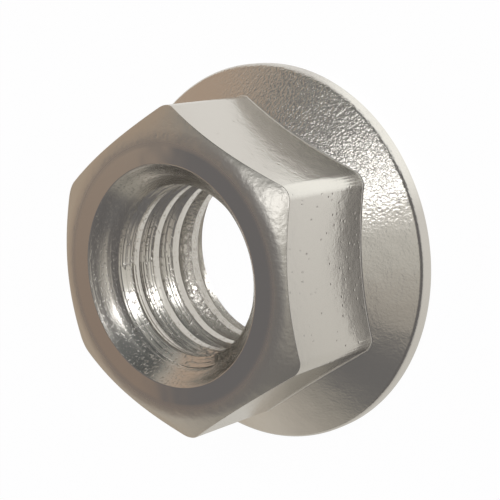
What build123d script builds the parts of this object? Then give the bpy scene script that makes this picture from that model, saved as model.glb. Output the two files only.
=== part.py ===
from build123d import *
import math
import os

# Serrated hexagon flange nut, half inch with 13 threads to the inch, right-hand, forged in one piece.
# Millimetres. The origin is on the thread's axis at the bearing face, +Z points to the top face,
# and one of the six flats faces +X.

# Hexagon
across_flats = 18.8  # wrench size, over two opposite flats
nut_height = 11.1  # bearing face to top face
corner_round = 1.1  # rounding along the six upright corners
top_face_inset = 0.45  # the round top face starts this far inside the flats
chamfer_angle = 31.0  # fall of the corner chamfer below the top face, degrees

# Flange
flange_reach = 3.32  # from the flats out to the rim
flange_slope = 30.0  # fall of the flange's upper side towards the rim, degrees
rim_chamfer = 0.6  # 45 degree chamfer under the rim
rim_wall = 0.65  # upright stretch of the rim
rim_round = 0.45  # rounding from the rim into the flange's upper side
foot_chamfer = 0.23  # narrow band where the hexagon grows out of the flange

# Bore
bore_diameter = 11.0  # over the thread's crests, its minor diameter
countersink_width = 1.6  # how far both mouths open beyond the crests
countersink_angle = 90.0  # included angle of both countersinks, degrees
mouth_bevel = 0.2  # narrow bevel that softens the top countersink's outer edge, to each side of it

# Thread
thread_pitch = 1.954
thread_depth = 0.85  # crest to root
thread_crest = 0.75  # width of the flat crests
thread_root = 0.24  # width of the flat roots
thread_phase = 0.49  # height of a root's middle above the bearing face, on the +X side

# Serrations of the bearing face: a ratchet that slides when the nut is tightened and bites when it turns back
serration_count = 30
serration_depth = 0.36  # at the rim; the grooves run out towards the axis
serration_land = 2.0  # flat crest of each tooth, degrees of arc
serration_bite = 12.0  # lean of the biting face from upright, degrees

cutter_overrun = 1.0  # how far a cutting body stands out of the metal
tap_overlap = 0.1  # how far the thread's ridge is sunk into the core of its cutter
tap_runout = 2  # turns by which the thread's cutter passes both ends of the nut

hex_inner_radius = across_flats / 2
flange_radius = hex_inner_radius + flange_reach
bore_radius = bore_diameter / 2
mouth_radius = bore_radius + countersink_width


def tan_of(degrees):
    return math.tan(math.radians(degrees))


def turned(outline):
    """Solid of revolution about the thread's axis, from a closed outline drawn as (radius, height)."""
    return revolve(Plane.XZ * make_face(outline), Axis.Z)


def hexagon():
    """Hexagonal body with rounded upright corners and a conical chamfer under the top face."""
    outline = RegularPolygon(hex_inner_radius, 6, major_radius=False, rotation=30)
    outline = fillet(outline.vertices(), corner_round)
    body = extrude(outline, nut_height)

    top_radius = hex_inner_radius - top_face_inset
    reach = flange_radius + cutter_overrun
    fall = (reach - top_radius) * tan_of(chamfer_angle)
    return body & turned(Polyline(
        (0, 0),
        (reach, 0),
        (reach, nut_height - fall),
        (top_radius, nut_height),
        (0, nut_height),
        close=True,
    ))


def flange():
    """Conical washer with a rounded rim, chamfered below. Its cone ends inside the hexagon."""
    slope = math.radians(flange_slope)
    wall_top = (flange_radius, rim_chamfer + rim_wall)
    shoulder = (flange_radius - rim_round * (1 - math.sin(slope)), wall_top[1] + rim_round * math.cos(slope))
    inner_height = shoulder[1] + (shoulder[0] - mouth_radius) * math.tan(slope)
    outline = Polyline(shoulder, (mouth_radius, inner_height), (0, inner_height), (0, 0),
                       (flange_radius - rim_chamfer, 0), (flange_radius, rim_chamfer), wall_top)
    return turned(outline + RadiusArc(wall_top, shoulder, -rim_round))


def tap():
    """Cutter for the bore and its right-hand thread: a rod with a helical ridge, longer than the nut."""
    ridge_start = thread_phase - tap_runout * thread_pitch
    ridge_length = nut_height + 2 * tap_runout * thread_pitch
    core = extrude(Pos(0, 0, ridge_start) * Circle(bore_radius), ridge_length)

    root_radius = bore_radius + thread_depth
    root_half = thread_root / 2
    flank_lean = ((thread_pitch - thread_crest) / 2 - root_half) / thread_depth
    base_half = root_half + flank_lean * (thread_depth + tap_overlap)
    section = make_face(Polyline(
        (root_radius, root_half),
        (bore_radius - tap_overlap, base_half),
        (bore_radius - tap_overlap, -base_half),
        (root_radius, -root_half),
        close=True,
    ))
    path = Helix(thread_pitch, ridge_length, bore_radius, center=(0, 0, ridge_start))
    return core + sweep(Pos(0, 0, ridge_start) * (Plane.XZ * section), path, is_frenet=True)


def countersinks():
    """Cutter for both mouths: two cones on a waist inside the bore. The top one has a bevelled edge."""
    half_angle = math.radians(countersink_angle / 2)
    waist_radius = bore_radius - cutter_overrun
    waist_depth = (mouth_radius - waist_radius) / math.tan(half_angle)
    return turned(Polyline(
        (mouth_radius - mouth_bevel * math.sin(half_angle), nut_height - mouth_bevel * math.cos(half_angle)),
        (waist_radius, nut_height - waist_depth),
        (waist_radius, waist_depth),
        (mouth_radius + cutter_overrun * math.tan(half_angle), -cutter_overrun),
        (0, -cutter_overrun),
        (0, nut_height + cutter_overrun),
        (mouth_radius + mouth_bevel, nut_height + cutter_overrun),
        (mouth_radius + mouth_bevel, nut_height),
        close=True,
    ))


def serration_groove():
    """Cutter between two teeth: a pyramid with its tip on the axis, so that the grooves run out together.

    Its section faces outwards: an upright biting face, the valley, and a long ramp down to the next tooth.
    """
    reach = flange_radius + cutter_overrun
    valley_height = serration_depth * reach / flange_radius
    bite_edge = reach * tan_of(serration_land / 2)
    ramp_edge = reach * tan_of((360 / serration_count) - serration_land / 2)
    bite_lean = tan_of(serration_bite)
    valley = bite_edge + valley_height * bite_lean
    ramp_lean = (ramp_edge - valley) / valley_height
    section = make_face(Polyline(
        (valley, valley_height),
        (bite_edge - cutter_overrun * bite_lean, -cutter_overrun),
        (ramp_edge + cutter_overrun * ramp_lean, -cutter_overrun),
        close=True,
    ))
    outside = Plane(origin=(reach, 0, 0), x_dir=(0, 1, 0), z_dir=(1, 0, 0))
    return loft([outside * section, Vertex(0, 0, 0)])


def flange_nut():
    hex_body = hexagon()
    washer = flange()
    nut = hex_body + washer
    nut = chamfer(new_edges(hex_body, washer, combined=nut), foot_chamfer)
    nut -= tap()
    nut -= countersinks()
    groove = serration_groove()
    return nut - [Rot(0, 0, 360 / serration_count * i) * groove for i in range(serration_count)]


os.makedirs("parts", exist_ok=True)
nut = flange_nut()
export_step(nut, "parts/flange_nut.step")
print("flange_nut:", len(nut.solids()), "solid,", round(nut.volume, 1), "mm3,", nut.bounding_box().size)
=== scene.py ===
import math

import bmesh
import bpy
from mathutils import Matrix, Vector


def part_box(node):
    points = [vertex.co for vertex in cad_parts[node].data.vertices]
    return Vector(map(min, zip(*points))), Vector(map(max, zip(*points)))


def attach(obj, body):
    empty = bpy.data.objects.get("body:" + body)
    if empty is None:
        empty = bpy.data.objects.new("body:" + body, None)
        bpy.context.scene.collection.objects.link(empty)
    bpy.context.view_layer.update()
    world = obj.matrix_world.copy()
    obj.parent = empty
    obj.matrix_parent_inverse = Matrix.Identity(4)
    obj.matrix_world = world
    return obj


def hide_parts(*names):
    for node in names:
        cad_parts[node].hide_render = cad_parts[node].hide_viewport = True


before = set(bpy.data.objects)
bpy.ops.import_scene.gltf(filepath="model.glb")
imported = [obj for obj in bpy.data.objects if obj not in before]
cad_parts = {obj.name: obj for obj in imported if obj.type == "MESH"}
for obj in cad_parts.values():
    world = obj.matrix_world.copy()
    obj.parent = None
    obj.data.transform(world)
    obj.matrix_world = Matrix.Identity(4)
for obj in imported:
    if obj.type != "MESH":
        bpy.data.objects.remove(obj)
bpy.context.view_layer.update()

mm = 0.001
origin = Vector((0, 0, 0))
axisZ = Vector((0, 0, 1))
smooth = {"interpolation_type": "SMOOTHSTEP"}  # a map range that starts and ends softly
colorMix = {"data_type": "RGBA"}  # mixes input 6 with input 7 by input 0, into output 2
noiseSpan = (0.25, 0.75)  # nearly all of a noise's values


# Helpers

closeTo = {  # how near counts as there
    "points": 0.002,  # mm, between points of a cut
    "slope": 0.5,  # degrees
    "height": 0.01,  # mm
    "ring": 0.02,
    "upright": 0.999,  # a normal's share along the axis
}


def linearColor(hexColor):  # sRGB hex to the linear colour that the nodes take
    channels = [int(hexColor[i:i + 2], 16) / 255 for i in (0, 2, 4)]
    return [c / 12.92 if c <= 0.04045 else ((c + 0.055) / 1.055) ** 2.4 for c in channels] + [1]


def addNode(tree, kind, settings=None, inputs=None):
    node = tree.nodes.new(kind)
    for name, value in (settings or {}).items():
        setattr(node, name, value)
    for name, value in (inputs or {}).items():
        if isinstance(value, bpy.types.NodeSocket):
            tree.links.new(value, node.inputs[name])
        else:
            node.inputs[name].default_value = value
    return node


def tanOf(degrees):
    return math.tan(math.radians(degrees))


def cosOf(degrees):
    return math.cos(math.radians(degrees))


def towards(azimuth, elevation):
    a, e = math.radians(azimuth), math.radians(elevation)
    return Vector((math.cos(a) * math.cos(e), math.sin(a) * math.cos(e), math.sin(e)))


def makePiece(name, bm):  # turns a bmesh into an object and frees it
    mesh = bpy.data.meshes.new(name)
    bm.to_mesh(mesh)
    bm.free()
    piece = bpy.data.objects.new(name, mesh)
    bpy.context.scene.collection.objects.link(piece)
    return piece


def combine(piece, tool, operation):  # boolean that is applied at once and uses the tool up
    modifier = piece.modifiers.new("combine", "BOOLEAN")
    modifier.operation = operation
    modifier.solver = "EXACT"
    modifier.object = tool
    graph = bpy.context.evaluated_depsgraph_get()
    mesh = bpy.data.meshes.new_from_object(piece.evaluated_get(graph))
    piece.modifiers.clear()
    piece.data = mesh
    bpy.data.objects.remove(tool)


def roundEdges(piece, wanted, offset, segments):  # bevels the edges that wanted() picks
    bm = bmesh.new()
    bm.from_mesh(piece.data)
    bmesh.ops.remove_doubles(bm, verts=bm.verts, dist=closeTo["points"] * mm)
    bm.normal_update()
    edges = [e for e in bm.edges if len(e.link_faces) == 2 and wanted(e)]
    bmesh.ops.bevel(bm, geom=edges, offset=offset * mm, offset_type="OFFSET", affect="EDGES",
                    segments=segments, profile=0.5, material=-1, clamp_overlap=True)
    bm.to_mesh(piece.data)
    bm.free()


def slopesMeet(low, high):  # picks the edges between faces that fall by these angles, 90 for a wall
    def wanted(edge):
        slopes = sorted(math.degrees(axisZ.angle(f.normal, math.pi / 2)) for f in edge.link_faces)
        return abs(slopes[0] - low) < closeTo["slope"] and abs(slopes[1] - high) < closeTo["slope"]
    return wanted


# The nut's form, in mm and degrees

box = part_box("flange_nut")
nutSize = {
    "height": box[1][2] / mm,
    "flangeRadius": box[1][0] / mm,
    "innerRadius": 9.4,  # axis to a flat
    "cornerRound": 1.1,
    "cornerSteps": 12,
    "topInset": 0.45,
    "chamferAngle": 31.0,
    "flangeSlope": 30.0,
    "rimChamfer": 0.6,  # under the rim
    "rimWall": 0.65,
    "rimRound": 0.45,  # over it
    "rimSteps": 8,
    "footFillet": 0.4,
    "footSteps": 5,
    "mouthRadius": 7.1,
    "mouthRound": 0.05,
    "mouthTurn": 45.0,  # that this round turns through
    "mouthSteps": 5,
    "mouthSlope": 49.0,  # fall of the top countersink at its mouth; it is slightly hollow
    "sinkSlope": 37.0,  # and at its inner edge
    "sinkRadius": 6.2,  # its inner edge
    "sinkSteps": 8,
    "innerSlope": 54.0,  # from there to the thread
    "topMargin": 0.06,  # strip around the top face that keeps its shading flat
    "edgeRound": 0.1,
    "edgeSteps": 2,
    "topRound": 0.4,  # soft edge between the top face and the chamfer, to each side
    "topRoundSteps": 4,
    "steps": 300,  # round each turned body
    "offEdge": 0.37,  # turns each of them, so that none of its edges meets an edge of the hexagon
    "overrun": 1.0,  # how far a cutter goes on outside the nut
    "merge": 0.0001,
    "sharpAngle": 25,  # edges past this stay sharp
    "normalWeight": 80,
}


def turned(name, outline):  # solid of revolution from an open outline that starts and ends on the axis
    bm = bmesh.new()
    points = [bm.verts.new((r * mm, 0, z * mm)) for r, z in outline]
    lines = [bm.edges.new(pair) for pair in zip(points, points[1:])]
    bmesh.ops.spin(bm, geom=[*points, *lines], cent=origin, axis=axisZ, angle=2 * math.pi,
                   steps=nutSize["steps"], use_merge=True)
    bmesh.ops.remove_doubles(bm, verts=bm.verts, dist=nutSize["merge"] * mm)
    bmesh.ops.rotate(bm, verts=bm.verts, cent=origin,
                     matrix=Matrix.Rotation(math.radians(nutSize["offEdge"]), 3, "Z"))
    bmesh.ops.recalc_face_normals(bm, faces=bm.faces)
    return makePiece(name, bm)


def hexagonBody():  # six flats with rounded corners, cut by the cone of the chamfer
    s = nutSize
    bm = bmesh.new()
    bmesh.ops.create_circle(bm, cap_ends=True, segments=6, radius=s["innerRadius"] / cosOf(30) * mm)
    bmesh.ops.bevel(bm, geom=bm.verts[:], offset=s["cornerRound"] * tanOf(30) * mm,
                    offset_type="OFFSET", affect="VERTICES", segments=s["cornerSteps"],
                    profile=0.5, material=-1, clamp_overlap=True)
    bmesh.ops.translate(bm, verts=bm.verts, vec=(0, 0, s["footFillet"] * mm))
    grown = bmesh.ops.extrude_face_region(bm, geom=bm.faces[:])["geom"]
    bmesh.ops.translate(bm, verts=[g for g in grown if isinstance(g, bmesh.types.BMVert)],
                        vec=(0, 0, s["height"] * mm))
    bmesh.ops.recalc_face_normals(bm, faces=bm.faces)
    body = makePiece("flangeNut", bm)
    reach = s["flangeRadius"] + s["overrun"]
    topRadius = s["innerRadius"] - s["topInset"]
    fall = (reach - topRadius) * tanOf(s["chamferAngle"])
    envelope = turned("envelope", [
        (0, -s["overrun"]), (reach, -s["overrun"]), (reach, s["height"] - fall),
        (topRadius, s["height"]), (0, s["height"])])
    combine(body, envelope, "INTERSECT")
    return body


def flangeDisc():  # the washer flange: its cone, the round over its rim, the rim and the chamfer below
    s = nutSize
    wallTop = s["rimChamfer"] + s["rimWall"]
    arc = []
    for i in range(s["rimSteps"] + 1):
        a = math.radians(90 - s["flangeSlope"]) * (1 - i / s["rimSteps"])
        arc.append((s["flangeRadius"] - s["rimRound"] * (1 - math.cos(a)),
                    wallTop + s["rimRound"] * math.sin(a)))
    shoulder = arc[0]
    innerHeight = shoulder[1] + (shoulder[0] - s["mouthRadius"]) * tanOf(s["flangeSlope"])
    outline = [(0, innerHeight), (s["mouthRadius"], innerHeight), *arc,
               (s["flangeRadius"], s["rimChamfer"]), (s["flangeRadius"] - s["rimChamfer"], 0), (0, 0)]
    return turned("flangeDisc", outline)


thread = {
    "pitch": 1.954,  # mm
    "minorRadius": 5.5,
    "majorRadius": 6.35,
    "crestWidth": 0.66,
    "rootWidth": 0.24,
    "soft": 0.06,  # softening of the crests and the roots
    "crestEase": 0.35,  # how much of it a crest's edge is cut back, outwards
    "rootEase": 0.5,  # and a root's, along the axis
    "startHeight": -2.44,  # middle of a crest, at +X
    "turns": 8,
    "stepsPerTurn": 120,
    "merge": 0.005,
}


def tapBody():  # one long screw, which cuts the thread
    t = thread
    crest, root, half, soft = t["crestWidth"] / 2, t["rootWidth"] / 2, t["pitch"] / 2, t["soft"]
    rising = [(t["minorRadius"], 0), (t["minorRadius"], crest - soft),
              (t["minorRadius"] + soft * t["crestEase"], crest),
              (t["majorRadius"] - soft, half - root - soft * t["rootEase"]),
              (t["majorRadius"], half - root + soft)]
    falling = [(r, 2 * half - z) for r, z in reversed(rising)]
    bm = bmesh.new()
    points = [bm.verts.new((r * mm, 0, (t["startHeight"] + z) * mm)) for r, z in rising + falling]
    lines = [bm.edges.new(pair) for pair in zip(points, points[1:])]
    steps = t["turns"] * t["stepsPerTurn"]
    bmesh.ops.spin(bm, geom=[*points, *lines], cent=origin, axis=axisZ, angle=2 * math.pi * t["turns"],
                   steps=steps, dvec=Vector((0, 0, t["pitch"] * mm / t["stepsPerTurn"])))
    bmesh.ops.remove_doubles(bm, verts=bm.verts, dist=t["merge"] * mm)
    rim = [e for e in bm.edges if e.is_boundary]
    middle = t["startHeight"] + (t["turns"] + 1) * half
    for reach in (-t["turns"] * half, t["turns"] * half):  # closes each end with a fan from the axis
        tip = bm.verts.new((0, 0, (middle + reach) * mm))
        for edge in rim:
            if (edge.verts[0].co.z / mm - middle) * reach > 0:
                bm.faces.new((*edge.verts, tip))
    bmesh.ops.recalc_face_normals(bm, faces=bm.faces)
    return makePiece("tap", bm)


def countersinkBody():  # both countersinks, joined by a waist that is thinner than the thread
    s = nutSize
    waist = thread["minorRadius"] - s["overrun"]
    outer = s["mouthRadius"] + s["overrun"]
    width = (s["mouthRadius"] - s["sinkRadius"]) / s["sinkSteps"]
    hollow = [(s["mouthRadius"], s["height"])]
    for i in range(s["sinkSteps"]):
        slope = s["mouthSlope"] + (s["sinkSlope"] - s["mouthSlope"]) * ((i + 0.5) / s["sinkSteps"]) ** 3
        hollow.append((hollow[-1][0] - width, hollow[-1][1] - width * tanOf(slope)))
    waistTop = hollow[-1][1] - (s["sinkRadius"] - waist) * tanOf(s["innerSlope"])
    outerTop = s["height"] + s["overrun"] * tanOf(s["mouthSlope"])
    return turned("countersinks", [
        (0, -s["overrun"]), (outer, -s["overrun"]), (waist, s["mouthRadius"] - waist), (waist, waistTop),
        *reversed(hollow), (outer, outerTop), (0, outerTop)])


def mouthEdge(edge):  # the round edge of the countersink in the top face
    middle = sum((v.co for v in edge.verts), origin) / 2 / mm
    offRing = abs(middle.xy.length - nutSize["mouthRadius"])
    return middle.z > nutSize["height"] - closeTo["height"] and offRing < closeTo["ring"]


teeth = {
    "count": 30,
    "depth": 0.36,  # mm, at the rim
    "land": 2.0,  # degrees of arc
    "bite": 12.0,  # lean of the biting face
}


def toothCutters():  # one wedge from the axis outwards for each valley, all in one tool
    s, t = nutSize, teeth
    reach = s["flangeRadius"] + s["overrun"]
    valleyHeight = t["depth"] * reach / s["flangeRadius"]
    biteEdge = reach * tanOf(t["land"] / 2)
    rampEdge = reach * tanOf(360 / t["count"] - t["land"] / 2)
    lean = tanOf(t["bite"])
    valley = biteEdge + valleyHeight * lean
    rampLean = (rampEdge - valley) / valleyHeight
    section = [(valley, valleyHeight), (biteEdge - s["overrun"] * lean, -s["overrun"]),
               (rampEdge + s["overrun"] * rampLean, -s["overrun"])]
    bm = bmesh.new()
    tip = bm.verts.new((0, 0, 0))
    base = [bm.verts.new((reach * mm, y * mm, z * mm)) for y, z in section]
    bm.faces.new(base)
    for i in range(3):
        bm.faces.new((tip, base[i], base[i - 1]))
    bmesh.ops.spin(bm, geom=[*bm.verts, *bm.edges, *bm.faces], cent=origin, axis=axisZ, steps=t["count"],
                   angle=2 * math.pi, use_duplicate=True)
    bmesh.ops.remove_doubles(bm, verts=bm.verts, dist=nutSize["merge"] * mm)
    bmesh.ops.recalc_face_normals(bm, faces=bm.faces)
    return makePiece("toothCutters", bm)


def isTopFace(normal, height):
    return normal.z > closeTo["upright"] and height > nutSize["height"] - closeTo["height"]


def flattenTop(piece):  # a narrow strip around the top face, so that its rounded edges don't bend its shading
    bm = bmesh.new()
    bm.from_mesh(piece.data)
    bm.normal_update()
    top = [f for f in bm.faces if isTopFace(f.normal, f.calc_center_median().z / mm)]
    bmesh.ops.inset_region(bm, faces=top, thickness=nutSize["topMargin"] * mm, use_even_offset=True)
    bm.to_mesh(piece.data)
    bm.free()


def shadeEdges(piece):
    bpy.context.view_layer.objects.active = piece
    piece.select_set(True)
    bpy.ops.object.shade_smooth_by_angle(angle=math.radians(nutSize["sharpAngle"]))
    piece.select_set(False)
    weighted = piece.modifiers.new("weightedNormals", "WEIGHTED_NORMAL")
    weighted.keep_sharp = True
    weighted.weight = nutSize["normalWeight"]


def makeNut():
    s = nutSize
    piece = hexagonBody()
    roundEdges(piece, slopesMeet(s["chamferAngle"], 90), s["edgeRound"], s["edgeSteps"])
    roundEdges(piece, slopesMeet(0, s["chamferAngle"]), s["topRound"], s["topRoundSteps"])
    combine(piece, flangeDisc(), "UNION")
    footOffset = s["footFillet"] * tanOf((90 - s["flangeSlope"]) / 2)
    roundEdges(piece, slopesMeet(s["flangeSlope"], 90), footOffset, s["footSteps"])
    combine(piece, tapBody(), "DIFFERENCE")
    combine(piece, countersinkBody(), "DIFFERENCE")
    roundEdges(piece, mouthEdge, s["mouthRound"] * tanOf(s["mouthTurn"] / 2), s["mouthSteps"])
    combine(piece, toothCutters(), "DIFFERENCE")
    flattenTop(piece)
    shadeEdges(piece)
    print("nut:", len(piece.data.vertices), "vertices,", len(piece.data.polygons), "faces")
    return piece


nut = makeNut()


# Stainless steel: one metal, with the finish that each step of the making left on it. As a metal it keeps the
# default IOR, is fully metallic, and its colour is what it reflects straight on. Sizes and heights are in mm.


def makeSteel(name, finish, marks=None):  # marks() adds what isn't plain waves, and returns its heights
    material = bpy.data.materials.new(name)
    material.use_nodes = True
    tree = material.node_tree
    shader = tree.nodes["Principled BSDF"]
    shader.inputs["Base Color"].default_value = linearColor(finish["color"])
    shader.inputs["Metallic"].default_value = 1
    shader.inputs["Roughness"].default_value = finish["roughness"]
    where = addNode(tree, "ShaderNodeTexCoord").outputs["Object"]
    heights = []
    for size, height, detail in finish["waves"]:
        wave = addNode(tree, "ShaderNodeTexNoise",
                       inputs={"Vector": where, "Scale": 1 / (size * mm), "Detail": detail})
        heights.append(addNode(tree, "ShaderNodeMapRange", smooth, {
            "Value": wave.outputs[0], "From Min": noiseSpan[0], "From Max": noiseSpan[1],
            "To Max": height}).outputs[0])
    if marks:
        heights += marks(tree, shader, where, finish)
    total = heights[0]
    for height in heights[1:]:
        total = addNode(tree, "ShaderNodeMath", {"operation": "ADD"}, {0: total, 1: height}).outputs[0]
    bump = addNode(tree, "ShaderNodeBump", inputs={"Strength": 1, "Distance": mm, "Height": total})
    tree.links.new(bump.outputs[0], shader.inputs["Normal"])
    return material


forged = {  # walls and corners, squeezed in a die, pickled and tumbled: satin, with soft peel and a few pits
    "color": "dcd9d4",
    "roughness": 0.2,
    "waves": [(0.9, 0.008, 2),  # across, high, detail: the die's peel
              (0.16, 0.0022, 2)],  # fine scale marks
    "pitSize": 0.45,  # one cell
    "pitReach": 0.25,  # a pit's radius, as a share of its cell
    "pitDepth": 0.02,
    "pitShare": 0.45,  # of the cells that have a pit
}
wiped = {  # the chamfer, wiped by the die as the corners filled: duller and more uneven
    "color": "d8d5cf",
    "roughness": 0.4,
    "waves": [(1.1, 0.02, 2), (0.2, 0.006, 2)],
    "pitSize": 0.6,
    "pitReach": 0.25,
    "pitDepth": 0.02,
    "pitShare": 0.3,
}


def pitMarks(tree, shader, where, f):
    pits = addNode(tree, "ShaderNodeTexVoronoi", inputs={"Vector": where, "Scale": 1 / (f["pitSize"] * mm)})
    chosen = addNode(tree, "ShaderNodeSeparateColor", inputs={0: pits.outputs["Color"]})
    depth = addNode(tree, "ShaderNodeMapRange", inputs={
        "Value": chosen.outputs[0], "From Min": 1 - f["pitShare"]})
    hole = addNode(tree, "ShaderNodeMapRange", smooth, {
        "Value": pits.outputs["Distance"], "From Min": f["pitReach"], "From Max": 0,
        "To Max": -f["pitDepth"]})
    return [addNode(tree, "ShaderNodeMath", {"operation": "MULTIPLY"},
                    {0: depth.outputs[0], 1: hole.outputs[0]}).outputs[0]]


tumbled = {  # the flange, tumbled among other nuts: bright, with a pebbled skin that sparkles on one side
    "color": "dcd9d4",
    "roughness": 0.24,
    "waves": [(1.6, 0.012, 1)],
    "grainSize": 0.18,  # real grain is about a third of this, and wouldn't show
    "grainHeight": 0.004,
    "roughHeight": 0.023,  # added on one side, where the skin is coarser
    "roughSide": 62,  # degrees round the axis
    "roughLimits": (0.55, 0.95),  # cosines from there, where it starts and where it is full
}


def pebbleMarks(tree, shader, where, f):
    grain = addNode(tree, "ShaderNodeTexNoise",
                    inputs={"Vector": where, "Scale": 1 / (f["grainSize"] * mm), "Detail": 2})
    pebble = addNode(tree, "ShaderNodeMapRange", smooth, {
        "Value": grain.outputs[0], "From Min": noiseSpan[0], "From Max": noiseSpan[1]})
    out = addNode(tree, "ShaderNodeVectorMath", {"operation": "NORMALIZE"}, {0: where})
    side = addNode(tree, "ShaderNodeVectorMath", {"operation": "DOT_PRODUCT"},
                   {0: out.outputs[0], 1: towards(f["roughSide"], 0)})
    coarse = addNode(tree, "ShaderNodeMapRange", smooth, {
        "Value": side.outputs["Value"], "From Min": f["roughLimits"][0], "From Max": f["roughLimits"][1],
        "To Max": f["roughHeight"]})
    height = addNode(tree, "ShaderNodeMath", {"operation": "ADD"},
                     {0: coarse.outputs[0], 1: f["grainHeight"]})
    return [addNode(tree, "ShaderNodeMath", {"operation": "MULTIPLY"},
                    {0: height.outputs[0], 1: pebble.outputs[0]}).outputs[0]]


faced = {  # the top face, struck flat by the die: the brightest, but dull at its rim, where the pressure ends
    "color": "dcd9d4",
    "roughness": 0.07,
    "waves": [(2.2, 0.003, 1)],
    "rimRoughness": 0.3,
    "dullLimits": (8.15, 8.55),  # from the axis, where it starts and where it is full
}


def dullRim(tree, shader, where, f):
    flat = addNode(tree, "ShaderNodeVectorMath", {"operation": "MULTIPLY"}, {0: where, 1: (1, 1, 0)})
    radius = addNode(tree, "ShaderNodeVectorMath", {"operation": "LENGTH"}, {0: flat.outputs[0]})
    dull = addNode(tree, "ShaderNodeMapRange", inputs={
        "Value": radius.outputs["Value"],
        "From Min": f["dullLimits"][0] * mm, "From Max": f["dullLimits"][1] * mm,
        "To Min": f["roughness"], "To Max": f["rimRoughness"]})
    tree.links.new(dull.outputs[0], shader.inputs["Roughness"])
    return []


bored = {  # the countersinks, cut by a drill's lip: bright rings round the axis, with a few torn specks
    "color": "dcd9d4",
    "roughness": 0.22,
    "waves": [],
    "pitch": 0,
    "lineSize": 0.25,  # from line to line; real tool marks are finer, and wouldn't show
    "lineHeight": 0.004,
    "tearSize": 0.16,
    "tearHeight": 0.011,
    "ragHeight": 0,
}
tapped = {  # the thread, cut by a tap: bright lines that climb with it, torn flanks and a ragged last turn
    "color": "dcd9d4",
    "roughness": 0.2,
    "waves": [],
    "pitch": thread["pitch"],
    "lineSize": 0.27,  # coarser than real, as above
    "lineHeight": 0.02,
    "tearSize": 0.25,
    "tearHeight": 0.02,
    "ragHeight": 0.03,
}
cutLimits = {  # values of a noise at which a mark starts, and at which it has its full height
    "lines": (0.3, 0.7),
    "tears": (0.55, 0.75),
    "rag": (0.4, 0.6),
    "lastTurn": (3.4, 3),  # height where the ragged last turn starts, and where it is fully ragged
}


def toolMarks(tree, shader, where, f):  # lines round the axis that climb by the pitch in each turn
    at = addNode(tree, "ShaderNodeSeparateXYZ", inputs={0: where})
    turn = addNode(tree, "ShaderNodeMath", {"operation": "ARCTAN2"}, {0: at.outputs["Y"], 1: at.outputs["X"]})
    climb = addNode(tree, "ShaderNodeMath", {"operation": "MULTIPLY"},
                    {0: turn.outputs[0], 1: f["pitch"] * mm / (2 * math.pi)})
    height = addNode(tree, "ShaderNodeMath", {"operation": "SUBTRACT"},
                     {0: at.outputs["Z"], 1: climb.outputs[0]})
    flat = addNode(tree, "ShaderNodeCombineXYZ", inputs={"X": at.outputs["X"], "Y": at.outputs["Y"]})
    radius = addNode(tree, "ShaderNodeVectorMath", {"operation": "LENGTH"}, {0: flat.outputs[0]})
    across = addNode(tree, "ShaderNodeCombineXYZ",
                     inputs={"X": radius.outputs["Value"], "Y": height.outputs[0]})
    lines = addNode(tree, "ShaderNodeTexNoise", {"noise_dimensions": "2D"},
                    {"Vector": across.outputs[0], "Scale": 1 / (f["lineSize"] * mm), "Detail": 1})
    tears = addNode(tree, "ShaderNodeTexNoise",
                    inputs={"Vector": where, "Scale": 1 / (f["tearSize"] * mm), "Detail": 3})
    heights = []
    for pattern, (low, high), rise in ((lines, cutLimits["lines"], f["lineHeight"]),
                                       (tears, cutLimits["tears"], f["tearHeight"]),
                                       (tears, cutLimits["rag"], f["ragHeight"])):
        heights.append(addNode(tree, "ShaderNodeMapRange", smooth, {
            "Value": pattern.outputs[0], "From Min": low, "From Max": high, "To Max": rise}).outputs[0])
    start, full = cutLimits["lastTurn"]
    last = addNode(tree, "ShaderNodeMapRange", inputs={
        "Value": at.outputs["Z"], "From Min": start * mm, "From Max": full * mm})
    rag = addNode(tree, "ShaderNodeMath", {"operation": "MULTIPLY"}, {0: last.outputs[0], 1: heights.pop()})
    return [*heights, rag.outputs[0]]


pressed = {  # the underside and its serrations, pressed by the die: satin, with a faint grain
    "color": "dcd9d4",
    "roughness": 0.2,
    "waves": [(0.2, 0.003, 2)],
}


places = {  # where each finish begins: radii and heights, and normals by their share along the axis
    "mouthRadius": 7.25,  # what is inside this and faces the axis is the bore
    "boreRadius": 6.6,  # and so is all that is inside this
    "threadHeights": (1.6, 10.2),
    "crestRadius": 5.6,  # crests are inside this
    "rootRadius": 6.2,  # roots are outside this
    "rootNormal": 0.3,  # and lean less than this
    "flankNormal": 0.8,  # flanks lean more than this
    "coneRadius": 9,
    "coneHeight": 4,
    "coneNormal": 0.8,
    "rimRadius": 12.2,
    "chamferNormal": 0.7,
}


def boreRegion(normal, radius, height):
    crest = radius < places["crestRadius"]
    root = radius > places["rootRadius"] and abs(normal.z) < places["rootNormal"]
    flank = abs(normal.z) > places["flankNormal"]
    low, high = places["threadHeights"]
    return "thread" if low < height < high and (crest or root or flank) else "mouth"


def regionOf(face):  # which step of the making left this face
    normal, place = face.normal, face.center / mm
    radius = place.xy.length
    facesAxis = normal.xy.dot(place.xy) < 0
    if radius < places["boreRadius"] or (radius < places["mouthRadius"] and facesAxis):
        return boreRegion(normal, radius, place.z)
    if isTopFace(normal, place.z):
        return "top"
    if place.z < nutSize["rimChamfer"] - closeTo["height"]:
        return "underside"
    low = radius > places["coneRadius"] and place.z < places["coneHeight"]
    if radius > places["rimRadius"] or (low and normal.z > places["coneNormal"]):
        return "flange"
    return "chamfer" if normal.z > places["chamferNormal"] else "hexagon"


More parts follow.
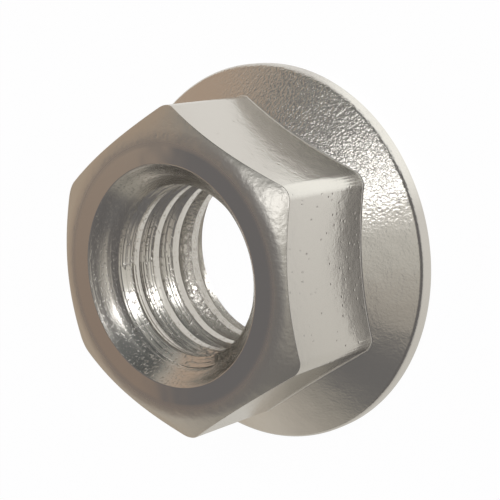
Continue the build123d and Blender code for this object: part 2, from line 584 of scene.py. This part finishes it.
finishes = {
    "hexagon": makeSteel("forgedSteel", forged, pitMarks),
    "chamfer": makeSteel("wipedSteel", wiped, pitMarks),
    "flange": makeSteel("tumbledSteel", tumbled, pebbleMarks),
    "top": makeSteel("facedSteel", faced, dullRim),
    "mouth": makeSteel("boredSteel", bored, toolMarks),
    "thread": makeSteel("tappedSteel", tapped, toolMarks),
    "underside": makeSteel("pressedSteel", pressed),
}
nut.data.materials.clear()
for material in finishes.values():
    nut.data.materials.append(material)
for face in nut.data.polygons:
    face.material_index = list(finishes).index(regionOf(face))
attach(nut, "root")
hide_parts("flange_nut")
print("finishes:", ", ".join(material.name for material in finishes.values()))


# Floor: white paper, evenly white to the camera, with a painted pool of light around the nut that only
# reflections see

floorLook = {
    "radius": 600,  # mm
    "steps": 96,
    "paper": "f2f0ec",
    "paintedPoolRadius": 17,  # painted light, even up to here
    "paintedPoolEdge": 27,  # and the painted light has fallen off by here
    "paintedPoolColors": ("d2cfc8", "f6f4f0"),  # painted light inside the pool, from one side to the other
    "paintedPoolPlaces": (-18, 14),  # along Y
    "paintedSpotColor": (1.25, 1.25, 1.2, 1),  # linear, a painted highlight brighter than white, on the lamp's side
    "paintedSpotSide": 43,  # degrees round the axis
    "paintedSpotLimits": (0.86, 0.99),  # cosines from there
    # painted shade beyond the pool: dimmer, warm at the back and grey at the front
    "paintedFarShade": "dad6cf",
    "paintedBackShade": "c3b3a0",
    "backLimits": (-0.1, -0.7),  # cosines from +X
    "paintedFrontShade": "a3a3a4",
    "frontLimits": (0.1, 0.8),
    "seenColor": (1.04, 1.04, 1.045, 1),  # linear; with the share of lit paper it comes out white
    "glowShare": 0.93,  # the rest is lit paper, which keeps the nut's shadow
}


def makeFloor():
    look = floorLook
    bm = bmesh.new()
    bmesh.ops.create_circle(bm, cap_ends=True, segments=look["steps"], radius=look["radius"] * mm)
    piece = makePiece("floor", bm)
    material = bpy.data.materials.new("whitePaperPaintedPool")
    material.use_nodes = True
    tree = material.node_tree
    tree.nodes.clear()
    where = addNode(tree, "ShaderNodeTexCoord").outputs["Object"]
    distance = addNode(tree, "ShaderNodeVectorMath", {"operation": "LENGTH"}, {0: where})
    side = addNode(tree, "ShaderNodeSeparateXYZ", inputs={0: where})
    front = addNode(tree, "ShaderNodeMath", {"operation": "DIVIDE"},
                    {0: side.outputs["X"], 1: distance.outputs["Value"]})
    out = addNode(tree, "ShaderNodeVectorMath", {"operation": "NORMALIZE"}, {0: where})
    # where the painted highlight on the floor lies, round the axis
    bright = addNode(tree, "ShaderNodeVectorMath", {"operation": "DOT_PRODUCT"},
                     {0: out.outputs[0], 1: towards(look["paintedSpotSide"], 0)})
    shares = {}  # how much of each painted tone there is, from its own limits
    for name, value, (low, high) in (
            ("back", front.outputs[0], look["backLimits"]),
            ("front", front.outputs[0], look["frontLimits"]),
            ("near", side.outputs["Y"], [y * mm for y in look["paintedPoolPlaces"]]),
            ("bright", bright.outputs["Value"], look["paintedSpotLimits"]),
            ("far", distance.outputs["Value"], (look["paintedPoolRadius"] * mm, look["paintedPoolEdge"] * mm))):
        shares[name] = addNode(tree, "ShaderNodeMapRange", smooth, {
            "Value": value, "From Min": low, "From Max": high}).outputs[0]
    # painted shade beyond the pool
    far = addNode(tree, "ShaderNodeMix", colorMix, {
        0: shares["back"], 6: linearColor(look["paintedFarShade"]), 7: linearColor(look["paintedBackShade"])})
    far = addNode(tree, "ShaderNodeMix", colorMix, {
        0: shares["front"], 6: far.outputs[2], 7: linearColor(look["paintedFrontShade"])})
    start, end = look["paintedPoolColors"]
    near = addNode(tree, "ShaderNodeMix", colorMix, {
        0: shares["near"], 6: linearColor(start), 7: linearColor(end)})
    near = addNode(tree, "ShaderNodeMix", colorMix, {
        0: shares["bright"], 6: near.outputs[2], 7: look["paintedSpotColor"]})
    # the painted pool of light, with painted shade beyond it
    lit = addNode(tree, "ShaderNodeMix", colorMix, {0: shares["far"], 6: near.outputs[2], 7: far.outputs[2]})
    path = addNode(tree, "ShaderNodeLightPath")
    # the camera sees even white; reflections see the painted light and shade
    seen = addNode(tree, "ShaderNodeMix", colorMix, {
        0: path.outputs["Is Camera Ray"], 6: lit.outputs[2], 7: look["seenColor"]})
    direct = path.outputs["Is Camera Ray"]
    for ray in ("Is Glossy Ray", "Is Transmission Ray"):
        direct = addNode(tree, "ShaderNodeMath", {"operation": "ADD", "use_clamp": True},
                         {0: direct, 1: path.outputs[ray]}).outputs[0]
    share = addNode(tree, "ShaderNodeMath", {"operation": "MULTIPLY"}, {0: direct, 1: look["glowShare"]})
    paper = addNode(tree, "ShaderNodeBsdfDiffuse", inputs={"Color": linearColor(look["paper"])})
    glow = addNode(tree, "ShaderNodeEmission", inputs={"Color": seen.outputs[2], "Strength": 1})
    mix = addNode(tree, "ShaderNodeMixShader",
                  inputs={0: share.outputs[0], 1: paper.outputs[0], 2: glow.outputs[0]})
    addNode(tree, "ShaderNodeOutputMaterial", inputs={"Surface": mix.outputs[0]})
    piece.data.materials.append(material)


makeFloor()
print("floor: radius", floorLook["radius"], "mm")


# Studio: a soft grey room around the nut. A limit gives a direction by azimuth and elevation, then how far
# from it the zone is full, and how far from it the zone is gone, in degrees. Later zones cover earlier ones.

roomColor = "bcb6ac"
zones = {
    "leftWall": {"color": "d2ccc2", "limits": [(-141, 4, 12, 24)]},
    "dimLeft": {"color": "8b8881", "limits": [(-92, -3, 14, 28)]},
    "warmWall": {"color": "bdab9a", "limits": [(165, 5, 34, 52)]},
    "bronzeCorner": {"color": "bba795", "limits": [(148, 12, 10, 24)]},
    "darkFront": {"color": "6c6a6a", "limits": [(0, -90, 128, 140), (0, 0, 92, 112)]},
    "softLeft": {"color": "a6a298", "limits": [(-101, 19, 7, 13)]},
    "rightLight": {"color": "d4d1cb", "limits": [(95, -10, 12, 26)]},
    "darkLeft": {"color": "737272", "limits": [(-82, 40, 14, 20)]},
    "greyRight": {"color": "aaaaa4", "limits": [(94, 42, 22, 38)]},
    "softTop": {"color": "d8d6ce", "limits": [(8, 66, 8, 26)]},
    "tanShade": {"color": "9a8a7e", "limits": [(-150, 40, 10, 28)]},
    "darkRight": {"color": "585a5a", "limits": [(97, 26, 13, 18)]},
    "darkCorner": {"color": "6a6c6c", "limits": [(73, 32, 10, 17)]},
    "darkTop": {"color": "757374", "limits": [(-5, 39.8, 92.9, 93.9), (-167, 60, 46, 50)]},
}


def makeStudio():
    world = bpy.data.worlds.new("studio")
    bpy.context.scene.world = world
    world.use_nodes = True
    tree = world.node_tree
    tree.nodes.clear()
    where = addNode(tree, "ShaderNodeTexCoord").outputs["Generated"]
    color = linearColor(roomColor)
    for zone in zones.values():
        share = None
        for azimuth, elevation, full, gone in zone["limits"]:
            dot = addNode(tree, "ShaderNodeVectorMath", {"operation": "DOT_PRODUCT"},
                          {0: where, 1: towards(azimuth, elevation)})
            limit = addNode(tree, "ShaderNodeMapRange", smooth, {
                "Value": dot.outputs["Value"], "From Min": cosOf(gone), "From Max": cosOf(full)}).outputs[0]
            if share:
                limit = addNode(tree, "ShaderNodeMath", {"operation": "MULTIPLY"},
                                {0: share, 1: limit}).outputs[0]
            share = limit
        color = addNode(tree, "ShaderNodeMix", colorMix, {
            0: share, 6: color, 7: linearColor(zone["color"])}).outputs[2]
    path = addNode(tree, "ShaderNodeLightPath")
    room = addNode(tree, "ShaderNodeBackground", inputs={"Color": color, "Strength": 1})
    white = addNode(tree, "ShaderNodeBackground", inputs={"Color": (1, 1, 1, 1), "Strength": 1})
    mix = addNode(tree, "ShaderNodeMixShader", inputs={
        0: path.outputs["Is Camera Ray"], 1: room.outputs[0], 2: white.outputs[0]})
    addNode(tree, "ShaderNodeOutputWorld", inputs={"Surface": mix.outputs[0]})


makeStudio()
print("studio:", len(zones), "zones")


# Key lamp: one long oval softbox

key = {
    "middle": (50, 58.5),  # azimuth and elevation
    "upperEnd": (72, 66),  # its long axis runs towards here
    "distance": 300,  # mm
    "length": 118,
    "width": 78,
    "radiance": 4.6,
}


def makeKey():
    data = bpy.data.lights.new("key", "AREA")
    data.shape = "ELLIPSE"
    data.size = key["length"] * mm
    data.size_y = key["width"] * mm
    data.energy = key["radiance"] * math.pi ** 2 / 4 * data.size * data.size_y  # watts of an oval lamp
    lamp = bpy.data.objects.new("key", data)
    bpy.context.scene.collection.objects.link(lamp)
    back = towards(*key["middle"])  # a lamp shines along its own -Z
    along = towards(*key["upperEnd"]) - back
    along = (along - along.dot(back) * back).normalized()
    turn = Matrix((along, back.cross(along), back)).transposed().to_4x4()
    lamp.matrix_world = Matrix.Translation(back * key["distance"] * mm) @ turn
    print("key lamp:", round(data.energy, 3), "W")


makeKey()


# Camera

camera = {
    "place": (63.013, 14.503, 76.965),  # mm
    "aim": (1.718, 0.825, 5.0),
    "roll": -103.41,  # degrees about the line of sight
    "lens": 105.95,
    "sensor": 36,
    "nearest": 1,  # mm
    "farthest": 10000,
}


def makeCamera():
    data = bpy.data.cameras.new("camera")
    data.lens = camera["lens"]
    data.sensor_width = camera["sensor"]
    data.clip_start = camera["nearest"] * mm
    data.clip_end = camera["farthest"] * mm
    eye = bpy.data.objects.new("camera", data)
    bpy.context.scene.collection.objects.link(eye)
    place = Vector(camera["place"]) * mm
    aim = Vector(camera["aim"]) * mm
    turn = (aim - place).to_track_quat("-Z", "Y").to_matrix().to_4x4()
    roll = Matrix.Rotation(math.radians(camera["roll"]), 4, "Z")
    eye.matrix_world = Matrix.Translation(place) @ turn @ roll
    bpy.context.scene.camera = eye
    print("camera:", camera["lens"], "mm lens")


makeCamera()
bpy.context.scene.view_settings.view_transform = "Standard"
